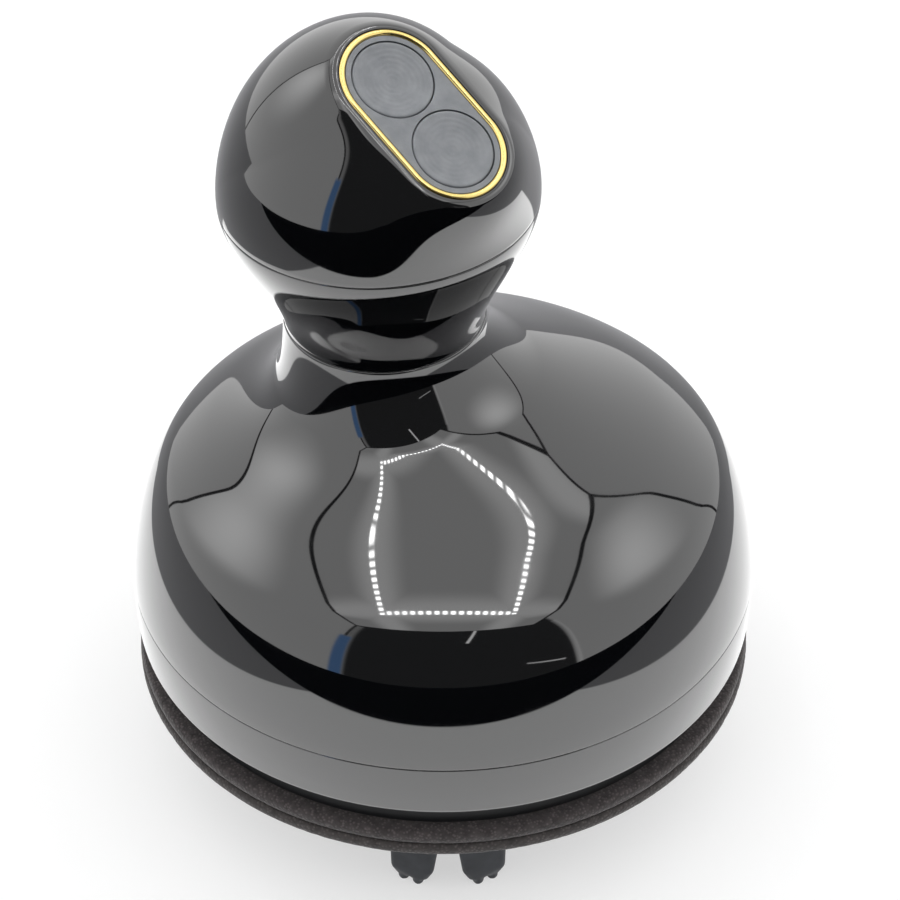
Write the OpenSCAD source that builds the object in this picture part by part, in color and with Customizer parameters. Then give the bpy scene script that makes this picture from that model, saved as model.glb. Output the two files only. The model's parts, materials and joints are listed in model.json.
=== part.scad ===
// Electric scalp massager with a leaning ball handle and four kneading claw hands.
// Z = 0 is the surface the claw tips stand on, the Z axis is the axis of the domed casing,
// -Y is the side the button panel faces, and the handle leans towards -X.

/* [Casing] */
// Radius of the glossy casing at its lower rim
rim_r = 52; // [50:0.5:56]
// Height of the lower rim above the surface the claw tips stand on
rim_z = 28.5; // [28:0.25:32]
// Height of the glossy band between the rim and the casing seam
band_h = 9.7; // [9:0.1:12]
// Radius where the dome stops bulging and starts to sweep up to the neck
shoulder_r = 43.9; // [42:0.1:45]
// Height of that shoulder above the rim
shoulder_h = 31; // [30:0.25:33]
// Wall thickness of the casing mouldings
wall = 2.2; // [1.8:0.1:2.6]

/* [Neck] */
// Outer radius of the neck where the handle meets the casing
neck_r = 15.7; // [15.3:0.1:17]
// Height of the neck's upper end above the rim
neck_h = 57.5; // [56:0.5:60]
// Offset of the neck's centre from the casing's axis, to the left
neck_left = 6.65; // [5:0.05:8]
// Offset of the neck's centre from the casing's axis, to the back
neck_back = 5.95; // [4:0.05:7]
// Lean of the handle to the left, in degrees
lean_left = 3.1; // [0:0.1:5]
// Lean of the handle to the front, in degrees
lean_front = 1.6; // [0:0.1:4]
// Radius of the cable hole through the neck
neck_hole_r = 5.5; // [4:0.5:6]

/* [Handle] */
// Radius of the ball
ball_r = 23.85; // [23:0.05:25]
// Height of the ball's centre above the neck, along the handle's axis
ball_h = 22.3; // [21.5:0.1:24]
// How far below the ball's centre the seam between its two shells lies
seam_drop = 0.5; // [0.3:0.1:2]
// Radius of the lower shell where it stands on the neck
handle_foot_r = 15.6; // [15:0.1:16]
// Wall thickness of the handle's shells
ball_wall = 2; // [1.6:0.1:2.4]

/* [Button panel] */
// Tilt of the panel from the handle's axis to the front, in degrees
panel_front = 33.1; // [30:0.1:36]
// Tilt of the panel from the handle's axis to the left, in degrees
panel_left = 7.3; // [5:0.1:10]
// Distance of the panel's flat top from the ball's centre
panel_d = 23.2; // [22.8:0.1:23.8]
// Slope of the shell away from the middle of the panel's sides, in degrees
side_slope = 29; // [25:1:35]
// Slope of the shell away from the panel's two ends, in degrees
end_slope = 43; // [38:1:48]
// Distance from the panel's middle to the centre of each key
key_offset = 6.3; // [6.2:0.05:6.6]
// Outer radius of the panel's round ends, over the metal trim
panel_r = 7.7; // [7.5:0.05:7.9]
// Width of the metal trim ring
trim_w = 0.95; // [0.7:0.05:1]
// Radius of a key
key_r = 5.8; // [5.2:0.05:5.85]
// Travel of a key
key_travel = 0.5; // [0.3:0.05:0.6]
// Depth of the finger dish in a key
key_dish = 0.45; // [0.2:0.05:0.6]

/* [Skirt] */
// Outer radius of the foam skirt under the casing
skirt_r = 52.4; // [50:0.2:56]
// Width of the foam ring
skirt_w = 7.4; // [6.6:0.2:8]
// Open shadow gap between the rim and the skirt
skirt_gap = 4.4; // [4:0.1:4.6]
// Thickness of the skirt's upper foam layer
foam_t = 2.5; // [2:0.1:3]
// Thickness of the skirt's lower edge layer
edge_t = 2.2; // [1.5:0.1:2.6]

/* [Gear train] */
// Module of the teeth: pitch diameter over number of teeth
tooth_module = 0.8; // [0.75:0.05:0.8]
// Teeth on the centre gear
centre_teeth = 28; // [26:1:28]
// Teeth on each of the four output gears
output_teeth = 36; // [36:1:38]
// Play between meshing teeth, measured along the pitch circle
tooth_play = 0.16; // [0.12:0.02:0.24]
// Thickness of the gears
gear_t = 5; // [4:0.25:5.5]
// Radius of the output shafts
shaft_r = 4; // [3.5:0.1:4.2]
// Radius of the output shafts' upper journals
journal_r = 2.5; // [2:0.1:3]
// Throw of the crank pins, half of a hand's sweep
crank_throw = 2.5; // [1.5:0.1:3]
// Radius of the crank pins
crank_pin_r = 2.6; // [2.4:0.1:3]
// Thickness of the crank discs
crank_t = 4.4; // [4:0.1:4.8]
// Crank angle at rest, from straight outwards, in degrees
rest_phase = 19; // [0:1:45]

/* [Hands] */
// Radius of the circle the outer claw tips stand on, about the hand's axis
tip_circle_r = 14.1; // [13.5:0.1:14.6]
// Angle from straight outwards to the inner tip of an outer claw, in degrees
tip_near = 20.4; // [19:0.2:22]
// Angle from straight outwards to its outer tip, in degrees
tip_far = 30.9; // [29:0.2:33]
// Radius of a tip
tip_r = 0.96; // [0.8:0.02:1.1]
// Length of a tip below its claw
tip_len = 1.5; // [1.2:0.1:2]
// Spacing of the three tips on the inner claw
inner_tip_step = 4.4; // [4:0.1:5]
// Thickness of a hand's palm
palm_t = 5; // [4:0.25:6]
// Radius of a hand's palm
palm_r = 11; // [10.5:0.25:11.5]

/* [Drive] */
// Radius of the geared motor
motor_r = 12.3; // [11.5:0.1:12.5]
// Length of the motor's gearbox
gearbox_len = 11; // [9:0.5:12]
// Length of the motor's can
motor_len = 18; // [16:0.5:19]
// Radius of the motor's shaft
motor_shaft_r = 2; // [1.8:0.1:2.5]
// Radius of the battery cell
cell_r = 9.15; // [8:0.05:9.25]
// Length of the battery cell
cell_len = 49; // [40:0.5:50]
// Length of the main circuit board
board_l = 38; // [36:0.5:40]
// Width of the main circuit board
board_w = 25; // [24:0.5:26]

/* [Fits] */
// Radial clearance of pieces that turn or slide in one another
run_fit = 0.05; // [0.03:0.01:0.08]
// Clearance of pieces that are fixed in one another
seat_fit = 0.05; // [0.03:0.01:0.1]
// Clearance between faces that move past one another
face_gap = 0.4; // [0.3:0.05:0.5]

/* [Hidden] */
$fn = 64;

black_gloss = [0.05, 0.05, 0.055];
black_matt = [0.13, 0.13, 0.14];
charcoal = [0.2, 0.19, 0.19];
panel_grey = [0.36, 0.37, 0.38];
gold = [0.83, 0.68, 0.32];
steel = [0.7, 0.71, 0.73];
brass = [0.78, 0.62, 0.3];
board_green = [0.1, 0.36, 0.22];
gear_white = [0.88, 0.88, 0.84];

// Heights, from the tips up
skirt_z = rim_z - skirt_gap - foam_t - edge_t;
tray_z = rim_z - skirt_gap;
tray_t = 2.5;
floor_z = tray_z + tray_t;
crank_top = tray_z - face_gap;
crank_bottom = crank_top - crank_t;
palm_top = crank_bottom - face_gap;
palm_bottom = palm_top - palm_t;
hub_len = palm_t + 1.7;
hub_bottom = palm_top - hub_len;
retain_gap = 0.15;
hub_screw_len = 6;
bush_h = 5.4;
gear_z = tray_z + bush_h + face_gap;
cover_z = gear_z + gear_t + face_gap + 0.3;
cover_t = 2.2;
cover_top = cover_z + cover_t;
seam_z = rim_z + band_h;
board_t = 1.6;
board_z = cover_top + 3.2;
// Long enough for any hole that runs right through
through = 80;

// Casing radii
tray_r = rim_r - wall - 0.3;
tray_wall_r = tray_r - wall;
tray_wall_top = rim_z + 3.5;
skirt_inner_r = skirt_r - skirt_w;
lip_t = 1.2;
// Share of the dome's curve that the band's lip reaches up
lip_share = 0.2;
shell_steps = 8;
flare_steps = 12;
flange_t = 3;
// Width of the solid ring between the neck's outside and the flange's inner corner
neck_land = 5.2;
neck_boss_h = 3;

// Gear circles
pressure_angle = 20;
centre_pitch_r = tooth_module * centre_teeth / 2;
output_pitch_r = tooth_module * output_teeth / 2;
output_distance = centre_pitch_r + output_pitch_r;
bush_r = shaft_r + 1.5;
crank_r = crank_throw + crank_pin_r + 1.4;
shaft_flat = 0.8;
motor_flat = 0.4;
// Solid ring inside a gear's pitch circle, and depth of the recess within it
gear_rim_t = 2.5;
web_sink = 1.5;
nose_r = 3.6;
nose_h = 1.4;
pin_r = 1.5;

// Screws: shank radius, head radius, head height
small_screw = [1, 1.9, 1.2];
long_screw = [1.4, 2.6, 1.6];
pilot_fit = 0.1;

// Screw circles and places
post_place = 30.5;
post_r = 3.2;
column_x = 38.5;
column_y = 14;
column_r = 3.4;
motor_screw_place = 8.5;
neck_screw_place = 8.6;
battery_y = -(motor_r + 5.4 + cell_r);
battery_z = cover_top + 1.6 + cell_r;
saddle_x = 14;
board_y = tray_wall_r - 5.4 - board_w;
board_front_screw = 2.5;
board_rear_screw = [board_l / 2 - 4, board_w - 3.5];
contact_z = rim_z + 6.4;
contact_x = 4;
contact_r = 1.4;

// ---- curves ----

// Point on a cubic curve, in [radius, height]
function curve(p, t) =
  pow(1 - t, 3) * p[0] + 3 * t * pow(1 - t, 2) * p[1] + 3 * t * t * (1 - t) * p[2] + pow(t, 3) * p[3];

// Direction of that curve
function curve_way(p, t) =
  3 * pow(1 - t, 2) * (p[1] - p[0]) + 6 * t * (1 - t) * (p[2] - p[1]) + 3 * t * t * (p[3] - p[2]);

// Point a distance inside the curve, square to it
function inside_curve(p, t, d) =
  let (w = curve_way(p, t), n = norm(w))
  curve(p, t) + d * [-w[1], w[0]] / n;

function ease(t) = t * t * (3 - 2 * t);

// ---- casing outline ----

slope = [-1.76, 1] / norm([1.76, 1]);
dome_curve = [
  [rim_r, band_h],
  [rim_r, band_h + 0.1 * (shoulder_h - band_h)],
  [shoulder_r, shoulder_h] - 6.2 * slope,
  [shoulder_r, shoulder_h]
];
flare_curve = [
  [shoulder_r, shoulder_h],
  [shoulder_r, shoulder_h] + 27 * slope,
  [neck_r, neck_h - 3.6],
  [neck_r, neck_h]
];

// The neck's shift and lean come in late along the flare
function neck_share(t) = pow(ease(t), 3);

// A casing station is [radius, height above the rim, share of the neck's shift and lean]
dome_stations = [for (i = [0 : shell_steps]) concat(curve(dome_curve, i / shell_steps), [0])];
flare_stations = [
  for (i = [1 : flare_steps]) let (t = i / flare_steps)
    concat(curve(flare_curve, t), [neck_share(t)])
];
// The inner wall stops where the neck's flange begins
flare_end = 0.75;
inner_stations = concat(
  [for (i = [0 : shell_steps]) concat(inside_curve(dome_curve, i / shell_steps, wall), [0])],
  [for (i = [1 : flare_steps]) let (t = flare_end * i / flare_steps)
    concat(inside_curve(flare_curve, t, wall), [neck_share(t)])]
);

// Inner edge of the dome's wall where the band's lip ends
lip_top = inside_curve(dome_curve, lip_share, wall);

// Ring of points round a station, shifted and tilted with the neck
function station_ring(s, n) =
  let (
    l = lean_left * s[2],
    f = lean_front * s[2],
    middle = [-neck_left * s[2], neck_back * s[2], rim_z + s[1]],
    across = [cos(l), 0, sin(l)],
    along = [-sin(f) * sin(l), cos(f), sin(f) * cos(l)]
  )
  [for (i = [0 : n - 1]) let (b = 360 * i / n) middle + s[0] * (cos(b) * across + sin(b) * along)];

// Closed skin over a loop of rings
module ring_loop(rings) {
  n = len(rings[0]);
  m = len(rings);
  polyhedron(
    points = [for (r = rings) for (p = r) p],
    faces = [for (j = [0 : m - 1]) for (i = [0 : n - 1])
      let (k = (i + 1) % n, l = (j + 1) % m)
      for (f = [[j * n + i, l * n + k, j * n + k], [j * n + i, l * n + i, l * n + k]]) f]
  );
}

// Skin over a stack of rings with flat ends
module ring_stack(rings) {
  n = len(rings[0]);
  m = len(rings);
  polyhedron(
    points = [for (r = rings) for (p = r) p],
    faces = concat(
      [[for (i = [0 : n - 1]) i]],
      [for (j = [0 : m - 2]) for (i = [0 : n - 1]) let (k = (i + 1) % n)
        for (f = [[j * n + i, (j + 1) * n + k, j * n + k],
                  [j * n + i, (j + 1) * n + i, (j + 1) * n + k]]) f],
      [[for (i = [n - 1 : -1 : 0]) (m - 1) * n + i]]
    )
  );
}

// ---- frames ----

// Frame on the neck's upper end, Z along the leaning handle
module at_neck() {
  translate([-neck_left, neck_back, rim_z + neck_h]) rotate([lean_front, -lean_left, 0]) children();
}

// Frame at the ball's centre, Z square to the button panel and Y along it
module at_panel() {
  at_neck() translate([0, 0, ball_h]) rotate([panel_front, -panel_left, 0]) children();
}

// The handle's axis as seen in the panel's frame
handle_axis = [sin(panel_left), cos(panel_left) * sin(panel_front), cos(panel_left) * cos(panel_front)];

// Frame of output 0 to 3, X pointing outwards
module at_output(i) {
  rotate(45 + 90 * i) translate([output_distance, 0, 0]) children();
}

// Frame of a hand, moved to its crank pin but facing outwards like its output
module at_hand(i) {
  at_output(i) rotate(rest_phase) translate([crank_throw, 0, 0]) rotate(-rest_phase) children();
}

// Places of the four cover posts and of the four casing columns
module at_posts() {
  for (a = [0 : 90 : 270]) rotate(a) translate([post_place, 0, 0]) children();
}
module at_columns() {
  for (x = [-column_x, column_x], y = [-column_y, column_y]) translate([x, y, 0]) children();
}

// Places of the main board's two rear screws
module at_board_rear() {
  for (x = [-1, 1]) translate([x * board_rear_screw[0], board_y + board_rear_screw[1], 0]) children();
}

// Place of the main board's front screw, and places of the motor's two
module at_board_front() {
  translate([0, board_y + board_front_screw, 0]) children();
}
module at_motor_screws() {
  for (a = [0, 180]) rotate(a) translate([motor_screw_place, 0, 0]) children();
}

// Places of the neck's three screws
module at_neck_screws() {
  at_neck() for (a = [30 : 120 : 270]) rotate(a) translate([neck_screw_place, 0, 0]) children();
}

// Straight round hole upwards from a height
module bore(r, from = -1) {
  translate([0, 0, from]) cylinder(r = r, h = through);
}

// Screw with its head's underside at Z = 0 and its shank reaching down
module screw(kind, shank) {
  translate([0, 0, -shank]) cylinder(r = kind[0], h = shank + 0.1, $fn = 32);
  difference() {
    cylinder(r = kind[1], h = kind[2], $fn = 32);
    translate([0, 0, kind[2] * 0.45]) cylinder(r = kind[1] * 0.45, h = kind[2], $fn = 6);
  }
}

// ---- casing ----

// Closed outline of the casing up to just above its shoulder, which the columns end in
module casing_solid() {
  ring_stack([
    for (s = concat(dome_stations, [for (i = [0 : 3]) flare_stations[i]])) station_ring(s, $fn)
  ]);
}

column_hole = 12;

module dome_shell() {
  hole_top = [neck_hole_r, neck_h, 1];
  hole_bottom = [neck_hole_r, neck_h - flange_t, 1];
  flange_corner = [neck_r - neck_land, neck_h - flange_t, 1];
  rib_t = 1.6;
  rib_z = rim_z + lip_top[1] + face_gap;
  color(black_gloss) difference() {
    union() {
      ring_loop([
        for (s = concat(dome_stations, flare_stations, [hole_top, hole_bottom, flange_corner],
          [for (i = [len(inner_stations) - 1 : -1 : 0]) inner_stations[i]]))
        station_ring(s, $fn)
      ]);
      intersection() {
        union() {
          at_columns() bore(column_r, floor_z);
          difference() {
            for (y = [-column_y, column_y]) translate([-rim_r, y - rib_t / 2, rib_z])
              cube([2 * rim_r, rib_t, neck_h]);
            bore(column_x);
          }
        }
        union() {
          casing_solid();
          cylinder(r = tray_wall_r - 1, h = seam_z + 0.01);
        }
      }
      at_neck_screws() translate([0, 0, -flange_t - neck_boss_h])
        cylinder(r = 2.4, h = neck_boss_h + flange_t / 2, $fn = 32);
    }
    at_columns() translate([0, 0, floor_z - 1])
      cylinder(r = long_screw[0] + pilot_fit, h = column_hole + 1, $fn = 32);
    at_neck_screws() bore(small_screw[0] + pilot_fit, -flange_t - neck_boss_h - 1, $fn = 32);
  }
}

module band_ring() {
  edge = wall / 2;
  inner = rim_r - wall;
  web_h = 1.6;
  // The dome's wall has flat facets, so the lip stays inside their middles
  lip_r = lip_top[0] * cos(180 / $fn) - 2 * seat_fit;
  color(black_gloss) difference() {
    rotate_extrude() union() {
      difference() {
        translate([inner, rim_z]) square([wall, band_h]);
        translate([rim_r - edge, rim_z - 1]) square([edge + 1, edge + 1]);
      }
      translate([rim_r - edge, rim_z + edge]) circle(r = edge, $fn = 40);
      translate([tray_wall_r + 0.3, tray_wall_top]) square([inner - tray_wall_r, web_h]);
      translate([lip_r - lip_t, tray_wall_top]) square([lip_t, rim_z + lip_top[1] - tray_wall_top]);
      translate([lip_r - lip_t, tray_wall_top])
        square([inner - lip_r + lip_t + 0.5, seam_z - seat_fit - tray_wall_top]);
    }
    for (x = [-contact_x, contact_x]) translate([x, tray_wall_r, contact_z])
      rotate([-90, 0, 0]) cylinder(r = contact_r + seat_fit, h = rim_r, $fn = 40);
  }
}

seal_r = 0.65;
seal_z = rim_z + 1.6;

tray_boss_r = 2.4;
bush_wall = 1.8;
pivot_r = motor_shaft_r + 2.5;
pivot_depth = 0.4;

module base_tray() {
  color(black_matt) translate([0, 0, tray_z]) difference() {
    union() {
      cylinder(r = tray_r, h = tray_t);
      difference() {
        cylinder(r = tray_r, h = tray_wall_top - tray_z);
        bore(tray_wall_r, tray_t);
      }
      for (i = [0 : 3]) at_output(i) cylinder(r = bush_r + bush_wall, h = bush_h);
      at_posts() cylinder(r = post_r, h = cover_z - tray_z);
      at_board_rear() cylinder(r = tray_boss_r, h = board_z - tray_z);
      cylinder(r = pivot_r, h = bush_h - pivot_depth);
    }
    rotate_extrude() translate([tray_r - seal_r + seat_fit, seal_z - tray_z])
      translate([-seal_r - seat_fit, -seal_r - 0.1]) square([4, 2 * seal_r + 0.2]);
    for (i = [0 : 3]) at_output(i) bore(bush_r + seat_fit);
    at_posts() bore(small_screw[0] + pilot_fit, tray_t + 1.5, $fn = 32);
    at_board_rear() bore(small_screw[0] + pilot_fit, bush_h + tray_t, $fn = 32);
    at_columns() {
      bore(long_screw[0] + pilot_fit, $fn = 32);
      translate([0, 0, -1]) cylinder(r = long_screw[1] + pilot_fit, h = 2, $fn = 32);
    }
    bore(motor_shaft_r + run_fit, tray_t + pivot_depth);
  }
}

module casing_seal() {
  color(charcoal) rotate_extrude()
    translate([tray_r - seal_r + seat_fit + 0.15, seal_z]) circle(r = seal_r, $fn = 24);
}

// ---- skirt ----

module skirt_layer(z, t, outer, bulge) {
  rotate_extrude() union() {
    translate([skirt_inner_r, z]) square([outer - bulge - skirt_inner_r, t]);
    translate([outer - bulge, z + t / 2]) intersection() {
      circle(r = t / 2, $fn = 32);
      translate([0, -t / 2]) square([bulge, t]);
    }
  }
}

module skirt_foam() {
  color(charcoal) skirt_layer(skirt_z + edge_t, foam_t, skirt_r - 0.2, foam_t / 2);
}

module skirt_edge() {
  color(black_matt) skirt_layer(skirt_z, edge_t, skirt_r, edge_t / 2);
}

// ---- handle ----

seam_h = ball_h - seam_drop;
seam_r = sqrt(ball_r * ball_r - seam_drop * seam_drop);
handle_curve = [
  [handle_foot_r, 0],
  [handle_foot_r + 0.2, 6],
  [seam_r - 0.3, seam_h - 6],
  [seam_r, seam_h]
];
handle_steps = 12;
handle_floor_t = 2.5;
// The upper shell's wall has flat facets, so the lip stays clear of their middles
lip_gap = 0.4;

module handle_lower_shell() {
  lip_r = ball_r - ball_wall - lip_gap;
  lip_up = 2;
  inner = [
    for (i = [handle_steps : -1 : 0]) let (p = inside_curve(handle_curve, i / handle_steps, ball_wall))
    if (p[1] > handle_floor_t && p[1] < seam_h - 1.5) p
  ];
  color(black_gloss) difference() {
    at_neck() rotate_extrude($fn = 96) polygon(concat(
      [[neck_hole_r, 0]],
      [for (i = [0 : handle_steps]) curve(handle_curve, i / handle_steps)],
      [[lip_r, seam_h], [lip_r, seam_h + lip_up]],
      [[lip_r - lip_t, seam_h + lip_up], [lip_r - lip_t, seam_h - 1]],
      inner,
      [[inner[len(inner) - 1][0] - 0.6, handle_floor_t], [neck_hole_r, handle_floor_t]]
    ));
    at_neck_screws() bore(small_screw[0] + pilot_fit, $fn = 32);
  }
}

// ---- button panel, in the frame whose Z is square to it ----

arc_steps = 24;
side_steps = 12;
trim_depth = 1.25;
trim_proud = 0.15;
trim_round = 0.3;
plate_sink = 0.15;
collar_w = 0.9;
collar_drop = 0.15;
ledge_t = 1.2;
ledge_z = panel_d - trim_depth;
ledge_r = key_r + 0.55;
plate_r = panel_r - trim_w - seat_fit;
button_board_z = ledge_z - 9.35;
button_board_t = 1.2;
board_ear = 10.5;
board_edge_r = 6.6;

// Outline of the panel: two round ends joined by straight sides
function stadium(r) =
  let (half = concat(
    [for (k = [0 : arc_steps - 1]) let (a = 180 * k / arc_steps) [r * cos(a), key_offset + r * sin(a)]],
    [for (k = [0 : side_steps - 1]) [-r, key_offset * (1 - 2 * k / side_steps)]]
  ))
  concat(half, [for (p = half) -p]);

function stadium_ring(r, z) = [for (p = stadium(r)) [p[0], p[1], z]];

// Curve over the ball from the handle's seam to a point on the panel's edge.
// It leaves the seam along the ball and reaches the edge at the shell's slope there.
function meridian(r, edge) =
  let (
    h = [edge[0], edge[1]] / norm([edge[0], edge[1]]),
    b = handle_axis[0] * h[0] + handle_axis[1] * h[1],
    a = atan2(b, handle_axis[2]) + acos(-seam_drop / (r * norm([handle_axis[2], b]))),
    start = r * [sin(a) * h[0], sin(a) * h[1], cos(a)],
    start_way = [-cos(a) * h[0], -cos(a) * h[1], sin(a)],
    out = [edge[0], edge[1] - max(-key_offset, min(key_offset, edge[1]))],
    o = out / norm(out),
    fall = side_slope + (end_slope - side_slope) * h[1] * h[1],
    end_way = [-o[0] * cos(fall), -o[1] * cos(fall), sin(fall)],
    turn = acos(start_way * end_way),
    pull = norm(edge - start) * 2 / 3 * tan(turn / 4) / sin(turn / 2)
  )
  [start, start + pull * start_way, edge - pull * end_way, edge];

// Rings from the seam up to the panel's edge
function shell_rings(r, edge_r, edge_z, steps) =
  let (lines = [for (p = stadium_ring(edge_r, edge_z)) meridian(r, p)])
  [for (k = [0 : steps]) [for (m = lines) curve(m, k / steps)]];

module handle_upper_shell() {
  outer = shell_rings(ball_r, panel_r + collar_w, panel_d - collar_drop, 8);
  inner = shell_rings(ball_r - ball_wall, ledge_r, ledge_z - ledge_t, 8);
  color(black_gloss) at_panel() difference() {
    union() {
      ring_loop(concat(
        outer,
        [stadium_ring(panel_r + seat_fit, panel_d), stadium_ring(panel_r + seat_fit, ledge_z)],
        [stadium_ring(ledge_r, ledge_z)],
        [for (k = [len(inner) - 1 : -1 : 0]) inner[k]]
      ));
      intersection() {
        for (x = [-board_ear, board_ear]) translate([x, 0, button_board_z])
          cylinder(r = 2.2, h = ball_r, $fn = 32);
        sphere(r = ball_r - ball_wall / 2, $fn = 96);
      }
    }
    for (x = [-board_ear, board_ear]) translate([x, 0, button_board_z - 1])
      cylinder(r = small_screw[0] + pilot_fit, h = 5, $fn = 32);
  }
}

// Metal ring with rounded upper edges, standing on the ledge
module panel_trim() {
  top = panel_d + trim_proud;
  corner = [for (a = [0 : 45 : 90]) trim_round * [1 - cos(a), sin(a) - 1]];
  color(gold) at_panel() ring_loop(concat(
    [stadium_ring(panel_r, ledge_z)],
    [for (c = corner) stadium_ring(panel_r - c[0], top + c[1])],
    [for (k = [2 : -1 : 0]) stadium_ring(panel_r - trim_w + corner[k][0], top + corner[k][1])],
    [stadium_ring(panel_r - trim_w, ledge_z)]
  ));
}

module panel_plate() {
  color(panel_grey) at_panel() translate([0, 0, ledge_z]) difference() {
    linear_extrude(height = trim_depth - plate_sink) polygon(stadium(plate_r));
    for (y = [-key_offset, key_offset]) translate([0, y, 0]) bore(key_r + 3 * run_fit);
  }
}

switch_h = 2.4;
switch_w = 4.6;
stem_r = 1.1;
key_flange_w = 0.35;
key_flange_t = 1.4;
key_top = panel_d - plate_sink;

// Key with a dished top, a flange trapped under the plate and a stem into its switch
module key(side) {
  flange_top = ledge_z - 2 * run_fit;
  stem_z = button_board_z + key_travel + 1.5;
  dish_edge = key_r - 0.5;
  dish_r = (dish_edge * dish_edge + key_dish * key_dish) / (2 * key_dish);
  color(panel_grey) at_panel() translate([0, side * key_offset, 0]) difference() {
    union() {
      translate([0, 0, flange_top - key_flange_t])
        cylinder(r = key_r, h = key_top - flange_top + key_flange_t);
      translate([0, 0, flange_top - key_flange_t]) cylinder(r = key_r + key_flange_w, h = key_flange_t);
      translate([0, 0, stem_z]) cylinder(r = stem_r, h = flange_top - stem_z, $fn = 32);
    }
    translate([0, 0, key_top - key_dish + dish_r]) sphere(r = dish_r, $fn = 96);
  }
}
module power_key() { key(1); }
module mode_key() { key(-1); }

module button_board() {
  color(board_green) at_panel() translate([0, 0, button_board_z - button_board_t]) difference() {
    linear_extrude(height = button_board_t) {
      polygon(stadium(board_edge_r));
      square([2 * board_ear, 6], center = true);
      for (x = [-board_ear, board_ear]) translate([x, 0]) circle(r = 3);
    }
    for (x = [-board_ear, board_ear]) translate([x, 0, 0])
      bore(small_screw[0] + pilot_fit, $fn = 32);
  }
}

module key_switches() {
  color(steel) at_panel() for (y = [-key_offset, key_offset])
    translate([0, y, button_board_z]) difference() {
      translate([-switch_w / 2, -switch_w / 2, 0]) cube([switch_w, switch_w, switch_h]);
      bore(stem_r + run_fit, 0.6, $fn = 32);
    }
}

module button_board_screws() {
  color(steel) at_panel() for (x = [-board_ear, board_ear])
    translate([x, 0, button_board_z - button_board_t]) rotate([180, 0, 0]) screw(small_screw, 4);
}

module neck_screws() {
  color(steel) at_neck_screws() translate([0, 0, handle_floor_t]) screw(small_screw, 7);
}

// Long screws up through the tray into the dome's columns, their heads let into the tray
module casing_screws() {
  head_depth = 1;
  color(steel) at_columns() translate([0, 0, tray_z + head_depth]) rotate([180, 0, 0])
    screw([long_screw[0], long_screw[1], head_depth - 0.1], column_hole - 1);
}

// ---- gear train ----

function involute(a) = tan(a) * 180 / PI - a;

// Half of a tooth's angle at radius r
function half_tooth(r, n) =
  let (p = tooth_module * n / 2, b = p * cos(pressure_angle))
  90 / n - (tooth_play / 4) / p * 180 / PI + involute(pressure_angle)
    - (r > b ? involute(acos(b / r)) : 0);

// Outline of a spur gear with a tooth centred on the X axis
module gear_outline(n) {
  p = tooth_module * n / 2;
  b = p * cos(pressure_angle);
  root = p - 1.25 * tooth_module;
  tip = p + tooth_module;
  radii = [root, for (k = [0 : 4]) max(b, root) + (tip - max(b, root)) * k / 4];
  polygon([
    for (i = [0 : n - 1]) let (c = 360 * i / n)
    for (q = concat(
      [for (k = [0 : 5]) [radii[k], -half_tooth(radii[k], n)]],
      [for (k = [5 : -1 : 0]) [radii[k], half_tooth(radii[k], n)]]))
    q[0] * [cos(c + q[1]), sin(c + q[1])]
  ]);
}

// Turn that puts output i in mesh with the centre gear, from its own outward X axis
function mesh_turn(i) =
  let (a = 45 + 90 * i) 180 + 180 / output_teeth + a * centre_teeth / output_teeth;

module centre_gear() {
  color(gear_white) translate([0, 0, gear_z]) difference() {
    union() {
      linear_extrude(height = gear_t) gear_outline(centre_teeth);
      cylinder(r = pivot_r, h = gear_t + face_gap);
    }
    difference() {
      bore(motor_shaft_r + seat_fit);
      translate([motor_shaft_r - motor_flat + seat_fit, -through / 2, -1]) cube(through);
    }
    difference() {
      bore(centre_pitch_r - gear_rim_t, gear_t - web_sink);
      bore(pivot_r);
    }
  }
}

module output_gear(i) {
  boss_r = shaft_r + 2;
  hole_place = (boss_r + output_pitch_r - gear_rim_t) / 2;
  hole_r = (output_pitch_r - gear_rim_t - boss_r) / 2 - 1;
  color(gear_white) at_output(i) rotate(mesh_turn(i)) translate([0, 0, gear_z]) difference() {
    linear_extrude(height = gear_t) gear_outline(output_teeth);
    difference() {
      bore(shaft_r + seat_fit);
      translate([shaft_r - shaft_flat + seat_fit, -through / 2, -1]) cube(through);
    }
    difference() {
      bore(output_pitch_r - gear_rim_t, gear_t - web_sink);
      bore(boss_r);
    }
    for (a = [30 : 60 : 330]) rotate(a) translate([hole_place, 0, 0]) bore(hole_r, $fn = 40);
  }
}
module gear_back_right() { output_gear(0); }
module gear_back_left() { output_gear(1); }
module gear_front_left() { output_gear(2); }
module gear_front_right() { output_gear(3); }

// Output shaft with its crank disc and pin below the tray
module output_crank(i) {
  shaft_top = gear_z + gear_t;
  color(steel) difference() {
    union() {
      at_output(i) {
        translate([0, 0, crank_bottom]) cylinder(r = crank_r, h = crank_t);
        translate([0, 0, crank_top - 0.1]) cylinder(r = shaft_r, h = shaft_top - crank_top + 0.1);
        translate([0, 0, shaft_top - 0.1])
          cylinder(r = journal_r, h = cover_top - face_gap - shaft_top + 0.1);
      }
      at_hand(i) translate([0, 0, hub_bottom - retain_gap])
        cylinder(r = crank_pin_r, h = crank_bottom - hub_bottom + retain_gap + 0.1);
    }
    at_output(i) rotate(mesh_turn(i)) translate([shaft_r - shaft_flat, -shaft_r, gear_z])
      cube([shaft_r, 2 * shaft_r, gear_t]);
    at_hand(i) translate([0, 0, hub_bottom - 1])
      cylinder(r = small_screw[0] + pilot_fit, h = hub_screw_len + 1.5, $fn = 32);
  }
}
module crank_back_right() { output_crank(0); }
module crank_back_left() { output_crank(1); }
module crank_front_left() { output_crank(2); }
module crank_front_right() { output_crank(3); }

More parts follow.
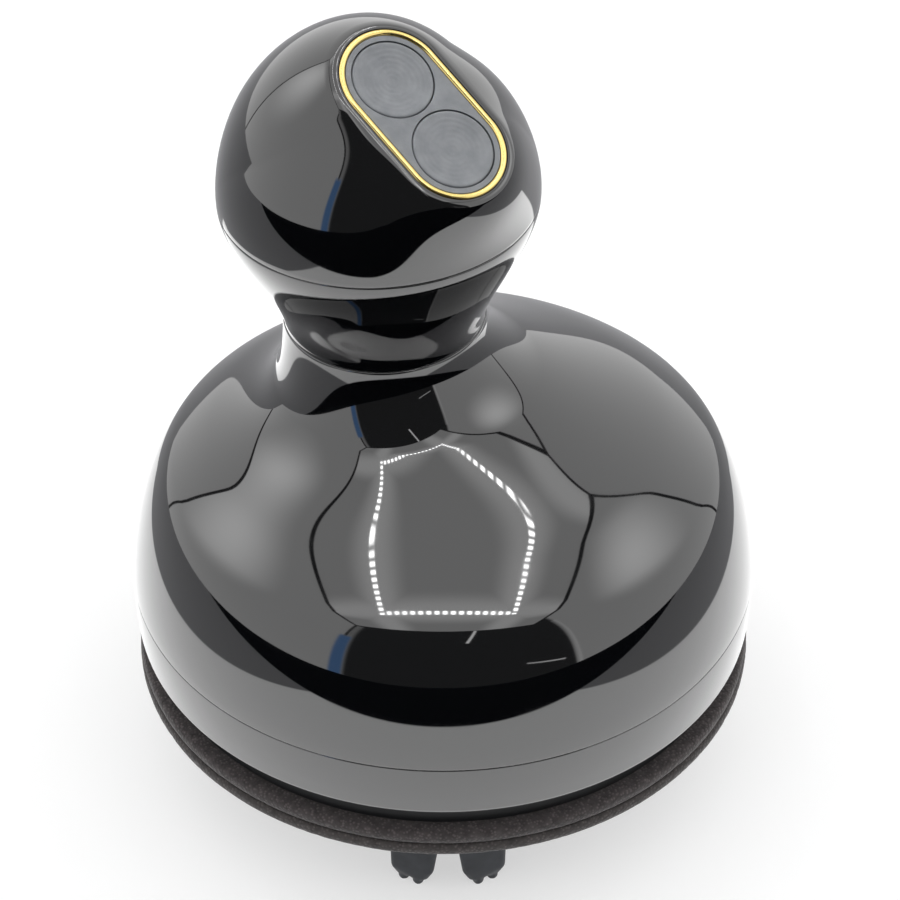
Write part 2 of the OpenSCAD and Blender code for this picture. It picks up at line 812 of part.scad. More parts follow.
module output_bushes() {
  color(brass) for (i = [0 : 3]) at_output(i) translate([0, 0, tray_z]) difference() {
    cylinder(r = bush_r, h = bush_h);
    bore(shaft_r + run_fit);
  }
}

module gear_cover() {
  front_l = 2 * (saddle_x + 4);
  front_y = battery_y - cell_r - 0.5;
  color(black_matt) translate([0, 0, cover_z]) difference() {
    union() {
      linear_extrude(height = cover_t) difference() {
        union() {
          circle(r = post_place + 4);
          translate([-front_l / 2, front_y]) square([front_l, battery_y + 4 - front_y]);
        }
        circle(r = nose_r + seat_fit);
      }
      at_board_front() cylinder(r = tray_boss_r, h = board_z - cover_z);
    }
    for (i = [0 : 3]) at_output(i) bore(journal_r + run_fit);
    at_posts() bore(small_screw[0] + pilot_fit, $fn = 32);
    at_motor_screws() bore(small_screw[0] + pilot_fit, $fn = 32);
    for (x = [-saddle_x, saddle_x]) translate([x, battery_y, 0]) bore(pin_r + seat_fit, $fn = 32);
    at_board_front() bore(small_screw[0] + pilot_fit, cover_t / 2, $fn = 32);
  }
}

module cover_screws() {
  color(steel) at_posts() translate([0, 0, cover_top]) screw(small_screw, 7);
}

module geared_motor() {
  can_r = motor_r - 0.4;
  can_top = gearbox_len + motor_len;
  tag_w = 3;
  color(steel) translate([0, 0, cover_top]) difference() {
    union() {
      cylinder(r = motor_r, h = gearbox_len);
      translate([0, 0, gearbox_len]) cylinder(r = can_r, h = motor_len);
      translate([0, 0, can_top - 0.1]) cylinder(r = can_r - 2.5, h = 0.9);
      translate([0, 0, can_top - 0.1]) cylinder(r = 3.2, h = 2.3);
      for (x = [-1, 1]) translate([x * can_r * 0.55 - tag_w / 2, -0.3, can_top])
        cube([tag_w, 0.6, 4]);
      translate([0, 0, -nose_h]) cylinder(r = nose_r, h = nose_h + 0.1);
    }
    translate([0, 0, -nose_h - 1]) cylinder(r = motor_shaft_r + run_fit, h = nose_h + 7);
    at_motor_screws() translate([0, 0, -1]) cylinder(r = small_screw[0] + pilot_fit, h = 5, $fn = 32);
  }
}

// Flat-headed screws up through the gear cover into the gearbox
module motor_screws() {
  color(steel) at_motor_screws() translate([0, 0, cover_z]) rotate([180, 0, 0])
    screw([small_screw[0], small_screw[1], face_gap], cover_t + 2.8);
}

module motor_shaft() {
  shaft_z = tray_z + tray_t + pivot_depth + 0.2;
  color(steel) difference() {
    translate([0, 0, shaft_z]) cylinder(r = motor_shaft_r, h = cover_top + 5.4 - shaft_z);
    translate([motor_shaft_r - motor_flat, -motor_shaft_r, gear_z])
      cube([motor_shaft_r, 2 * motor_shaft_r, gear_t + face_gap]);
  }
}

// ---- hands ----

hub_r = 5.6;
hub_flange_r = 8.5;
hub_flange_t = 1.6;

module hand_hub(i) {
  color(black_matt) at_hand(i) difference() {
    union() {
      translate([0, 0, hub_bottom]) cylinder(r = hub_r, h = hub_len);
      translate([0, 0, palm_top - hub_flange_t]) cylinder(r = hub_flange_r, h = hub_flange_t);
    }
    bore(crank_pin_r + run_fit);
  }
}
module hub_back_right() { hand_hub(0); }
module hub_back_left() { hand_hub(1); }
module hub_front_left() { hand_hub(2); }
module hub_front_right() { hand_hub(3); }

// Rounded slab between corners given as [x, y], at height z
module slab(corners, z, r) {
  for (c = corners) translate([c[0], c[1], z]) cylinder(r = r, h = 0.4, $fn = 24);
}

// Outer claw on one side: a wedge that narrows to its two tips
module outer_claw(side) {
  near = tip_circle_r * [cos(tip_near), sin(tip_near)];
  far = tip_circle_r * [cos(tip_far), sin(tip_far)];
  mirror([0, side < 0 ? 1 : 0, 0]) hull() {
    slab([near + [0.2, -0.7], far + [-0.2, 0.3], far + [-1.6, 0.2], near + [-1.6, -0.7]], tip_len, 1);
    slab([near + [0.5, -1.6], far + [0.2, 1.1], far + [-3.6, 1.1], near + [-3.6, -1.6]], 3.4, 1);
    slab([near + [-0.8, -3.4], far + [-0.8, 1.3], far + [-6, -1.2], near + [-6, -3.4]],
      palm_bottom + 1, 1);
  }
}

// Inner claw: one wider wedge with three tips
module inner_claw() {
  x = -tip_circle_r;
  w = inner_tip_step;
  hull() {
    slab([[x, -w - 0.3], [x, w + 0.3], [x + 1.2, w + 0.2], [x + 1.2, -w - 0.2]], tip_len, 1);
    slab([[x - 0.4, -w - 1.2], [x - 0.4, w + 1.2], [x + 3.6, w + 1], [x + 3.6, -w - 1]], 3.4, 1);
    slab([[x + 1, -w - 1.6], [x + 1, w + 1.6], [x + 6, w + 2], [x + 6, -w - 2]],
      palm_bottom + 1, 1);
  }
}

// Round-ended tip standing on Z = 0
module claw_tip() {
  rotate_extrude($fn = 32) union() {
    square([tip_r - 0.6, 1]);
    intersection() {
      translate([tip_r - 0.6, 0.6]) circle(r = 0.6, $fn = 32);
      square([tip_r, 0.6]);
    }
    translate([0, 0.6]) square([tip_r, tip_len - 0.3]);
  }
}

module hand_claws(i) {
  near = tip_circle_r * [cos(tip_near), sin(tip_near)];
  far = tip_circle_r * [cos(tip_far), sin(tip_far)];
  color(black_matt) at_hand(i) difference() {
    union() {
      translate([0, 0, palm_bottom]) cylinder(r = palm_r, h = palm_t);
      outer_claw(1);
      outer_claw(-1);
      inner_claw();
      for (y = [-1, 1], p = [near, far]) translate([p[0], y * p[1], 0]) claw_tip();
      for (k = [-1 : 1]) translate([-tip_circle_r + 0.4, k * inner_tip_step, 0]) claw_tip();
    }
    bore(hub_r + seat_fit, palm_bottom - 1);
    bore(hub_flange_r + seat_fit, palm_top - hub_flange_t);
  }
}
module claws_back_right() { hand_claws(0); }
module claws_back_left() { hand_claws(1); }
module claws_front_left() { hand_claws(2); }
module claws_front_right() { hand_claws(3); }

// Screw and washer head that hold a hub on its crank pin
module hub_screw(i) {
  color(steel) at_hand(i) translate([0, 0, hub_bottom - retain_gap]) rotate([180, 0, 0])
    screw([small_screw[0], crank_pin_r + 1, small_screw[2]], hub_screw_len);
}
module hub_screw_back_right() { hub_screw(0); }
module hub_screw_back_left() { hub_screw(1); }
module hub_screw_front_left() { hub_screw(2); }
module hub_screw_front_right() { hub_screw(3); }

// ---- power ----

module battery_cell() {
  color([0.2, 0.35, 0.5]) translate([-cell_len / 2, battery_y, battery_z]) rotate([0, 90, 0]) {
    cylinder(r = cell_r, h = cell_len);
    translate([0, 0, cell_len - 0.1]) cylinder(r = 2.8, h = 1.1, $fn = 40);
  }
}

// Two saddles under the cell, each with a pin into the gear cover
module battery_cradle() {
  saddle_w = 6;
  saddle_y = cell_r - 0.5;
  color(black_matt) for (x = [-saddle_x, saddle_x]) translate([x, battery_y, 0]) difference() {
    union() {
      translate([-saddle_w / 2, -saddle_y, cover_top])
        cube([saddle_w, 2 * saddle_y, battery_z - cover_top - 2]);
      translate([0, 0, cover_z + 0.2]) cylinder(r = pin_r, h = cover_t + 2, $fn = 32);
    }
    translate([-saddle_w, 0, battery_z]) rotate([0, 90, 0])
      cylinder(r = cell_r + seat_fit, h = 2 * saddle_w);
  }
}

// Parts on the board: [x, y, width, length, height]
board_parts = [[-5, 9, 8, 8, 1.4], [6, 5, 5, 6, 1.8], [-16, 4, 5, 9, 4.5]];
capacitor = [8, 15, 2.5, 6];

module main_board() {
  color(board_green) difference() {
    translate([0, board_y, board_z]) union() {
      translate([-board_l / 2, 0, 0]) cube([board_l, board_w, board_t]);
      for (p = board_parts) translate([p[0], p[1], board_t - 0.1]) cube([p[2], p[3], p[4] + 0.1]);
      translate([capacitor[0], capacitor[1], board_t - 0.1])
        cylinder(r = capacitor[2], h = capacitor[3] + 0.1, $fn = 40);
    }
    at_board_rear() bore(small_screw[0] + pilot_fit, board_z - 1, $fn = 32);
    at_board_front() bore(small_screw[0] + pilot_fit, board_z - 1, $fn = 32);
  }
}

module main_board_screws() {
  color(steel) translate([0, 0, board_z + board_t]) {
    at_board_rear() screw(small_screw, 6);
    at_board_front() screw(small_screw, 4);
  }
}

module charge_contacts() {
  reach = sqrt(rim_r * rim_r - contact_x * contact_x) - 0.25;
  color(gold) for (x = [-contact_x, contact_x]) translate([x, tray_wall_r, contact_z])
    rotate([-90, 0, 0]) cylinder(r = contact_r, h = reach - tray_wall_r, $fn = 40);
}

dome_shell();
band_ring();
base_tray();
casing_seal();
skirt_foam();
skirt_edge();
handle_lower_shell();
handle_upper_shell();
panel_trim();
panel_plate();
power_key();
mode_key();
button_board();
key_switches();
button_board_screws();
neck_screws();
casing_screws();
gear_cover();
cover_screws();
output_bushes();
geared_motor();
motor_screws();
motor_shaft();
centre_gear();
battery_cell();
battery_cradle();
main_board();
main_board_screws();
charge_contacts();
gear_back_right();
gear_back_left();
gear_front_left();
gear_front_right();
crank_back_right();
crank_back_left();
crank_front_left();
crank_front_right();
hub_back_right();
hub_back_left();
hub_front_left();
hub_front_right();
claws_back_right();
claws_back_left();
claws_front_left();
claws_front_right();
hub_screw_back_right();
hub_screw_back_left();
hub_screw_front_left();
hub_screw_front_right();
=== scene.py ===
import bmesh
import bpy
import json
import math
from mathutils import Matrix, Vector, noise


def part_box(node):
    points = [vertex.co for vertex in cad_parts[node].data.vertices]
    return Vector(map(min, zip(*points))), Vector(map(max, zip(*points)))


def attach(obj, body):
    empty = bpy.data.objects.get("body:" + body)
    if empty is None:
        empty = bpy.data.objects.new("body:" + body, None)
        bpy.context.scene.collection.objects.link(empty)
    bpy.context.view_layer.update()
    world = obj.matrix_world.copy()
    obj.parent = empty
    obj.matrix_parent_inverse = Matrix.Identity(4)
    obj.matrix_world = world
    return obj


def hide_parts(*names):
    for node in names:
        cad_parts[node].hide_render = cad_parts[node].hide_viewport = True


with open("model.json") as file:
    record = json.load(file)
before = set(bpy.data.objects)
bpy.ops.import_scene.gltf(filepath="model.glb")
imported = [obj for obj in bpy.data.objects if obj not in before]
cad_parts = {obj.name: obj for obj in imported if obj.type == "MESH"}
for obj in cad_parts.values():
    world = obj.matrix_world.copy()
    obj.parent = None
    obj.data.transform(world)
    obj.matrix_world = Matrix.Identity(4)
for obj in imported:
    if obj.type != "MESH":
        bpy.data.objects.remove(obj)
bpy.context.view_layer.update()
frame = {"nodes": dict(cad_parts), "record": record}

nodes = frame["nodes"]
scene = bpy.context.scene
corners = ["back_right", "back_left", "front_left", "front_right"]
print("frame loaded:", len(nodes), "pieces")


def linear(hexColour):
    # sRGB hex to the linear values that Blender's sockets take
    values = [int(hexColour[i:i + 2], 16) / 255 for i in (1, 3, 5)]
    return [v / 12.92 if v <= 0.04045 else ((v + 0.055) / 1.055) ** 2.4 for v in values] + [1.0]


def addNode(tree, kind, settings=None, inputs=None, links=None):
    # one node, with its own settings, its socket values and what it is fed from
    made = tree.nodes.new(kind)
    for name, value in (settings or {}).items():
        setattr(made, name, value)
    for name, value in (inputs or {}).items():
        made.inputs[name].default_value = value
    for name, source in (links or {}).items():
        tree.links.new(source, made.inputs[name])
    return made


# ---------- camera ----------

camera = {"place": (-0.17985, -0.18143, 0.25974), "down": 38.31, "azimuth": -45, "lens": 80}
cameraData = bpy.data.cameras.new("camera")
cameraData.lens = camera["lens"]
cameraData.sensor_width = 36
cameraObject = bpy.data.objects.new("camera", cameraData)
cameraObject.location = camera["place"]
cameraObject.rotation_euler = (math.radians(90 - camera["down"]), 0, math.radians(camera["azimuth"]))
scene.collection.objects.link(cameraObject)
scene.camera = cameraObject
scene.view_settings.view_transform = "Standard"
print("camera placed")

# ---------- studio ----------

# a white light tent with its front open; lengths are shares of the ceiling's height over the object,
# to the right of the camera's view and towards the camera, angles are in degrees
tent = {
    "left": -0.64, "right": 0.68, "back": -0.38, "front": 0.88, "floor": -0.25, "piping": 0.028,
    "ceiling": 1.0, "sides": 1.05, "backLight": 1.0, "frontLight": 0.6, "opening": 0.06,
    "lampLeft": -0.31, "lampRight": 0.37, "lampBack": -0.3, "lampFront": 0.49, "lampWidth": 0.026,
    "lamp": 14.0, "lampDots": 150, "lampGlow": 0.7,
    "leftBlob": (-0.17, 0.5), "rightBlob": (-0.05, 0.6), "blobSize": 0.4, "blobLight": 1.3,
    "openingLeft": -33, "openingRight": 45, "floorLight": 1.4, "pipingLight": 0.04,
    # daylight beside the opening, and the room's slit lamps: start, end, width in degrees, strength
    "daylightTurn": (-38, -33.5), "daylightRise": (-10, 28), "daylight": 0.9,
    "daylightColour": (0.25, 0.5, 1.0, 1),
    "slits": (((14, 48), (9, 33), 0.9, 2.5), ((28, 8), (41, 4), 0.5, 1.8), ((36, -10), (40, -11), 0.5, 1.2),
              ((45, 40), (46, -16), 1.6, 0.35)),
}
# the floor's "sides" and "outside" colours are painted shade for the dim surroundings beyond the white board
floorBoard = {"size": 3.0, "left": -0.155, "right": 0.16, "back": -0.13, "front": 0.19, "seam": 0.003,
              "colour": "#f6f6f6", "sides": "#9a9a9c", "outside": "#060608",
              "own": 0.5, "ownLight": 1.12, "glow": 0.4}


def sideways():
    # unit vectors to the right of the camera's view and from the object to the camera
    turn = math.radians(camera["azimuth"])
    return (math.cos(turn), math.sin(turn), 0), (math.sin(turn), -math.cos(turn), 0)


def fade(tree, value, low, high, start=0.0, end=1.0):
    # a smooth step from start to end as the value goes from low to high
    spread = {"From Min": low, "From Max": high, "To Min": start, "To Max": end}
    soft = addNode(tree, "ShaderNodeMapRange", {"interpolation_type": "SMOOTHSTEP"}, spread, {"Value": value})
    return soft.outputs["Result"]


def calc(tree, kind, first, second=None, third=None):
    # a Math node on links or plain numbers
    made = addNode(tree, "ShaderNodeMath", {"operation": kind})
    for i, value in enumerate((first, second, third)):
        if isinstance(value, (int, float)):
            made.inputs[i].default_value = value
        elif value is not None:
            tree.links.new(value, made.inputs[i])
    return made.outputs[0]


def between(tree, value, low, high, soft):
    # 1 from low to high, with soft edges
    rising = fade(tree, value, low - soft, low + soft)
    return calc(tree, "MULTIPLY", rising, fade(tree, value, high - soft, high + soft, 1, 0))


def dotted(tree, value, way):
    made = addNode(tree, "ShaderNodeVectorMath", {"operation": "DOT_PRODUCT"}, links={0: value})
    made.inputs[1].default_value = way
    return made.outputs["Value"]


def mixed(tree, share, first, second):
    # between two strengths
    made = addNode(tree, "ShaderNodeMix", {"data_type": "FLOAT"})
    for i, value in ((0, share), (2, first), (3, second)):
        if isinstance(value, (int, float)):
            made.inputs[i].default_value = value
        else:
            tree.links.new(value, made.inputs[i])
    return made.outputs[0]


def wallDistance(tree, along, low, high):
    # how far a way goes before it meets the wall ahead of it, of two that face each other
    ahead = fade(tree, along, -1e-4, 1e-4, -low, high)
    return calc(tree, "DIVIDE", ahead, calc(tree, "MAXIMUM", calc(tree, "ABSOLUTE", along), 1e-3))


def lampBars(tree, across, ahead):
    # a square of lamp bars on the ceiling, each a row of bright dots
    half, near = tent["lampWidth"], 0.004
    wide = between(tree, across, tent["lampLeft"] - half, tent["lampRight"] + half, near)
    deep = between(tree, ahead, tent["lampBack"] - half, tent["lampFront"] + half, near)
    innerWide = between(tree, across, tent["lampLeft"], tent["lampRight"], near)
    innerDeep = between(tree, ahead, tent["lampBack"], tent["lampFront"], near)
    ring = calc(tree, "SUBTRACT", calc(tree, "MULTIPLY", wide, deep),
                calc(tree, "MULTIPLY", innerWide, innerDeep))
    waves = [calc(tree, "SINE", calc(tree, "MULTIPLY", value, tent["lampDots"])) for value in (across, ahead)]
    dots = [calc(tree, "MULTIPLY_ADD", wave, 0.5, 0.5) for wave in waves]
    # the dots run along each bar: front and back bars have theirs across, the side bars theirs ahead
    return calc(tree, "MULTIPLY", ring, mixed(tree, innerWide, dots[1], dots[0]))


def glowRound(tree, across, ahead):
    # soft light on the ceiling's cloth beside the bars
    glow = None
    for value, spots in ((across, ("lampLeft", "lampRight")), (ahead, ("lampBack", "lampFront"))):
        for name in spots:
            offset = calc(tree, "ABSOLUTE", calc(tree, "SUBTRACT", value, tent[name]))
            near = fade(tree, offset, 0.02, 0.16, tent["lampGlow"], 0)
            glow = near if glow is None else calc(tree, "MAXIMUM", glow, near)
    return glow


def blob(tree, ahead, height, middle):
    # a lamp's soft pool of light on a side wall
    offsets = [calc(tree, "POWER", calc(tree, "SUBTRACT", value, at), 2)
               for value, at in zip((ahead, height), middle)]
    away = calc(tree, "SQRT", calc(tree, "ADD", offsets[0], offsets[1]))
    return fade(tree, away, 0, tent["blobSize"], tent["blobLight"], 0)


def streak(tree, turn, rise, start, end, width):
    # a thin bright line between two directions, as angles
    (x0, y0), (x1, y1) = start, end
    length = math.hypot(x1 - x0, y1 - y0)
    ux, uy = (x1 - x0) / length, (y1 - y0) / length
    dx, dy = calc(tree, "SUBTRACT", turn, x0), calc(tree, "SUBTRACT", rise, y0)
    ahead = calc(tree, "MULTIPLY_ADD", dx, ux, calc(tree, "MULTIPLY", dy, uy))
    aside = calc(tree, "ABSOLUTE", calc(tree, "MULTIPLY_ADD", dx, -uy, calc(tree, "MULTIPLY", dy, ux)))
    shown = between(tree, ahead, 0, length, 0.4)
    return calc(tree, "MULTIPLY", shown, fade(tree, aside, width * 0.4, width, 1, 0))


def tentWorld():
    world = bpy.data.worlds.new("tent")
    scene.world = world
    world.use_nodes = True
    tree = world.node_tree
    background = tree.nodes["Background"]
    way = addNode(tree, "ShaderNodeTexCoord").outputs["Generated"]
    right, front = sideways()
    toRight, toFront, upward = [dotted(tree, way, axis) for axis in (right, front, (0, 0, 1))]
    far = [wallDistance(tree, toRight, tent["left"], tent["right"]),
           wallDistance(tree, toFront, tent["back"], tent["front"]),
           wallDistance(tree, upward, tent["floor"], 1)]
    near = calc(tree, "MINIMUM", calc(tree, "MINIMUM", far[0], far[1]), far[2])
    most = calc(tree, "MAXIMUM", calc(tree, "MAXIMUM", far[0], far[1]), far[2])
    total = calc(tree, "ADD", calc(tree, "ADD", far[0], far[1]), far[2])
    middle = calc(tree, "SUBTRACT", total, calc(tree, "ADD", near, most))
    across, ahead, height = [calc(tree, "MULTIPLY", value, near) for value in (toRight, toFront, upward)]
    isSide, isFace, isLevel = [calc(tree, "COMPARE", value, near, 1e-4) for value in far]
    up, forward = fade(tree, upward, -1e-3, 1e-3), fade(tree, toFront, -1e-3, 1e-3)
    rightward = fade(tree, toRight, -1e-3, 1e-3)
    # cloth: ceiling with its lamps, sides with their pools of light, back and front
    ceiling = calc(tree, "MULTIPLY_ADD", lampBars(tree, across, ahead), tent["lamp"],
                   calc(tree, "ADD", glowRound(tree, across, ahead), tent["ceiling"]))
    level = mixed(tree, up, tent["floorLight"], ceiling)
    pools = mixed(tree, rightward, blob(tree, ahead, height, tent["leftBlob"]),
                  blob(tree, ahead, height, tent["rightBlob"]))
    sides = calc(tree, "ADD", pools, tent["sides"])
    face = mixed(tree, forward, tent["backLight"], tent["frontLight"])
    light = calc(tree, "MULTIPLY", isSide, sides)
    light = calc(tree, "MULTIPLY_ADD", isFace, face, light)
    light = calc(tree, "MULTIPLY_ADD", isLevel, level, light)
    # black piping where two cloths meet
    seam = calc(tree, "DIVIDE", calc(tree, "SUBTRACT", middle, near), near)
    piping = fade(tree, seam, tent["piping"] * 0.5, tent["piping"], tent["pipingLight"], 1)
    light = calc(tree, "MULTIPLY", light, piping)
    # the open front, with the room's slit lamps in it
    degrees = 180 / math.pi
    turn = calc(tree, "MULTIPLY", calc(tree, "ARCTAN2", toRight, toFront), degrees)
    rise = calc(tree, "MULTIPLY", calc(tree, "ARCSINE", upward), degrees)
    hole = between(tree, turn, tent["openingLeft"], tent["openingRight"], 1.2)
    hole = calc(tree, "MULTIPLY", hole, calc(tree, "SUBTRACT", 1, calc(tree, "MULTIPLY", isLevel, up)))
    light = mixed(tree, hole, light, tent["opening"])
    for start, end, width, strength in tent["slits"]:
        shown = streak(tree, turn, rise, start, end, width)
        light = calc(tree, "MULTIPLY_ADD", shown, strength, light)
    # daylight beside the opening is blue
    blue = calc(tree, "MULTIPLY", between(tree, turn, *tent["daylightTurn"], 0.8),
                between(tree, rise, *tent["daylightRise"], 1.5))
    tone = addNode(tree, "ShaderNodeMix", {"data_type": "RGBA"},
                   {6: (1, 1, 1, 1), 7: tent["daylightColour"]}, {0: blue})
    light = mixed(tree, blue, light, tent["daylight"])
    # the camera itself sees plain white
    seen = addNode(tree, "ShaderNodeLightPath").outputs["Is Camera Ray"]
    plain = addNode(tree, "ShaderNodeMix", {"data_type": "RGBA"}, {7: (1, 1, 1, 1)},
                    {0: seen, 6: tone.outputs[2]})
    tree.links.new(plain.outputs[2], background.inputs["Color"])
    tree.links.new(mixed(tree, seen, light, 1.0), background.inputs["Strength"])


def studioFloor():
    bm = bmesh.new()
    bmesh.ops.create_grid(bm, x_segments=1, y_segments=1, size=floorBoard["size"])
    mesh = bpy.data.meshes.new("floor")
    bm.to_mesh(mesh)
    bm.free()
    floor = bpy.data.objects.new("floor", mesh)
    scene.collection.objects.link(floor)
    material = bpy.data.materials.new("white_floor")
    material.use_nodes = True
    tree = material.node_tree
    shader = tree.nodes["Principled BSDF"]
    shader.inputs["Roughness"].default_value = 1.0
    shader.inputs["Specular IOR Level"].default_value = 0.0
    # white within the tent; beyond it, where only reflections and bounced light see it, painted shade: mid
    # grey to the sides and near black past the open front
    place = addNode(tree, "ShaderNodeTexCoord").outputs["Object"]
    right, front = sideways()
    across, ahead = dotted(tree, place, right), dotted(tree, place, front)
    seam = floorBoard["seam"]
    inside = calc(tree, "MULTIPLY", between(tree, across, floorBoard["left"], floorBoard["right"], seam),
                  between(tree, ahead, floorBoard["back"], floorBoard["front"], seam))
    path = addNode(tree, "ShaderNodeLightPath")
    seen = path.outputs["Is Camera Ray"]
    beyond = fade(tree, ahead, floorBoard["front"] - seam, floorBoard["front"] + seam)
    outer = addNode(tree, "ShaderNodeMix", {"data_type": "RGBA"}, {
        6: linear(floorBoard["sides"]), 7: linear(floorBoard["outside"])}, {0: beyond}).outputs[2]
    colour = addNode(tree, "ShaderNodeMix", {"data_type": "RGBA"}, {7: linear(floorBoard["colour"])}, {
        0: calc(tree, "MAXIMUM", inside, seen), 6: outer}).outputs[2]
    tree.links.new(colour, shader.inputs["Base Color"])
    # the board's own light: half of what the camera sees, so shadows stay faint, and some in reflections
    glossy = calc(tree, "MULTIPLY", path.outputs["Is Glossy Ray"], inside)
    lit = addNode(tree, "ShaderNodeEmission")
    tree.links.new(calc(tree, "MULTIPLY", glossy, floorBoard["glow"]), lit.inputs["Strength"])
    board = addNode(tree, "ShaderNodeAddShader", links={
        0: shader.outputs["BSDF"], 1: lit.outputs["Emission"]})
    ownWhite = addNode(tree, "ShaderNodeEmission", inputs={"Strength": floorBoard["ownLight"]})
    brightened = addNode(tree, "ShaderNodeMixShader", links={
        0: calc(tree, "MULTIPLY", seen, floorBoard["own"]), 1: board.outputs["Shader"],
        2: ownWhite.outputs["Emission"]})
    # from below the board is clear, so the claws can be seen
    below = addNode(tree, "ShaderNodeNewGeometry").outputs["Backfacing"]
    clear = addNode(tree, "ShaderNodeBsdfTransparent")
    shown = addNode(tree, "ShaderNodeMixShader", links={
        0: calc(tree, "MULTIPLY", below, seen), 1: brightened.outputs["Shader"], 2: clear.outputs["BSDF"]})
    tree.links.new(shown.outputs["Shader"], tree.nodes["Material Output"].inputs["Surface"])
    mesh.materials.append(material)


tentWorld()
studioFloor()
print("studio lit")

# ---------- materials ----------


def newMaterial(name, colour, roughness, **sockets):
    # a named Principled material, with the object's own coordinates to hang a pattern on
    material = bpy.data.materials.new(name)
    material.use_nodes = True
    tree = material.node_tree
    shader = tree.nodes["Principled BSDF"]
    shader.inputs["Base Color"].default_value = linear(colour)
    shader.inputs["Roughness"].default_value = roughness
    for socket, value in sockets.items():
        shader.inputs[socket.replace("_", " ")].default_value = value
    return material, tree, shader, addNode(tree, "ShaderNodeTexCoord").outputs["Object"]


def perMillimetre(size):
    # noise scale for grains of a real size in millimetres
    return 1000.0 / size


def grain(tree, place, size):
    # noise with grains of a size in millimetres
    return addNode(tree, "ShaderNodeTexNoise", inputs={"Scale": perMillimetre(size), "Detail": 3.0},
                   links={"Vector": place}).outputs["Fac"]


def roughen(tree, shader, height, depth):
    # bump with its depth in millimetres
    bump = addNode(tree, "ShaderNodeBump", inputs={"Strength": 1.0, "Distance": depth / 1000},
                   links={"Height": height})
    tree.links.new(bump.outputs["Normal"], shader.inputs["Normal"])


def tint(tree, shader, factor, dark, light, low=0.3, high=0.7):
    # colour between two shades
    ramp = addNode(tree, "ShaderNodeValToRGB", links={"Fac": factor})
    ramp.color_ramp.elements[0].position = low
    ramp.color_ramp.elements[0].color = linear(dark)
    ramp.color_ramp.elements[1].position = high
    ramp.color_ramp.elements[1].color = linear(light)
    tree.links.new(ramp.outputs["Color"], shader.inputs["Base Color"])


def polishedAbs():
    # piano-black ABS from a polished mould: deep black under a hard clear gloss, with dust-fine haze
    material, tree, shader, place = newMaterial("piano_black_abs", "#08090b", 0.04, IOR=1.65,
                                                Coat_Weight=1.0, Coat_Roughness=0.015, Coat_IOR=1.6)
    haze = grain(tree, place, 9.0)
    soft = fade(tree, haze, 0.35, 0.75, 0.03, 0.075)
    tree.links.new(soft, shader.inputs["Roughness"])
    return material


def sparkAbs(name, colour):
    # moulded ABS with a fine spark-eroded texture: dull black with a soft edge light
    material, tree, shader, place = newMaterial(name, colour, 0.55, IOR=1.5)
    roughen(tree, shader, grain(tree, place, 0.35), 0.02)
    return material


def closedCellFoam(name, dark, light):
    # closed-cell EVA foam: charcoal, cut cells catch light as pale specks (drawn at 0.5 mm so they show)
    material, tree, shader, place = newMaterial(name, dark, 0.9, IOR=1.4)
    cells = addNode(tree, "ShaderNodeTexVoronoi", inputs={"Scale": perMillimetre(0.55)},
                    links={"Vector": place})
    specks = fade(tree, cells.outputs["Distance"], 0.1, 0.5, 1, 0)
    blotch = grain(tree, place, 1.4)
    tint(tree, shader, calc(tree, "MULTIPLY_ADD", specks, 0.45, calc(tree, "MULTIPLY", blotch, 0.6)),
         dark, light, 0.15, 0.85)
    shader.inputs["Sheen Weight"].default_value = 0.25
    shader.inputs["Sheen Roughness"].default_value = 0.5
    roughen(tree, shader, cells.outputs["Distance"], 0.12)
    return material


def platedGold():
    # polished gold-tone plating on a cast ring: pale yellow with clear soft reflections
    material, tree, shader, place = newMaterial("gold_plated_trim", "#f6dc8c", 0.16, Metallic=1.0)
    wear = grain(tree, place, 1.2)
    tree.links.new(fade(tree, wear, 0.3, 0.75, 0.12, 0.24), shader.inputs["Roughness"])
    return material


def softTouch(name, colour, light):
    # soft-touch coated silicone rubber: satin grey with a fine grain of 0.3 mm
    material, tree, shader, place = newMaterial(name, colour, 0.42, IOR=1.5)
    tint(tree, shader, grain(tree, place, 2.5), colour, light, 0.25, 0.8)
    shader.inputs["Coat Weight"].default_value = 0.15
    shader.inputs["Coat Roughness"].default_value = 0.3
    roughen(tree, shader, grain(tree, place, 0.3), 0.02)
    return material


def clawSilicone():
    # moulded matt silicone: slate black with a bluish bloom and lint-fine mottling
    material, tree, shader, place = newMaterial("claw_silicone", "#2e3136", 0.52, IOR=1.42)
    tint(tree, shader, grain(tree, place, 3.0), "#2a2c31", "#393c41")
    shader.inputs["Sheen Weight"].default_value = 0.12
    roughen(tree, shader, grain(tree, place, 0.4), 0.015)
    return material


def sealRubber():
    # moulded nitrile rubber cord: dull black
    material, tree, shader, place = newMaterial("seal_rubber", "#171717", 0.6, IOR=1.5)
    roughen(tree, shader, grain(tree, place, 0.5), 0.01)
    return material


def acetal():
    # injection-moulded acetal: milky off-white with a waxy shine
    material, tree, shader, place = newMaterial("acetal_resin", "#e4e3da", 0.32, IOR=1.48)
    tint(tree, shader, grain(tree, place, 4.0), "#dad8cd", "#ebeae3")
    shader.inputs["Subsurface Weight"].default_value = 0.08
    shader.inputs["Subsurface Scale"].default_value = 0.001
    return material


def zincSteel():
    # zinc-plated steel: cool grey with faint drawn streaks
    material, tree, shader, place = newMaterial("zinc_plated_steel", "#b4b6ba", 0.3, Metallic=1.0)
    streaks = grain(tree, place, 0.8)
    tree.links.new(fade(tree, streaks, 0.3, 0.7, 0.22, 0.4), shader.inputs["Roughness"])
    return material


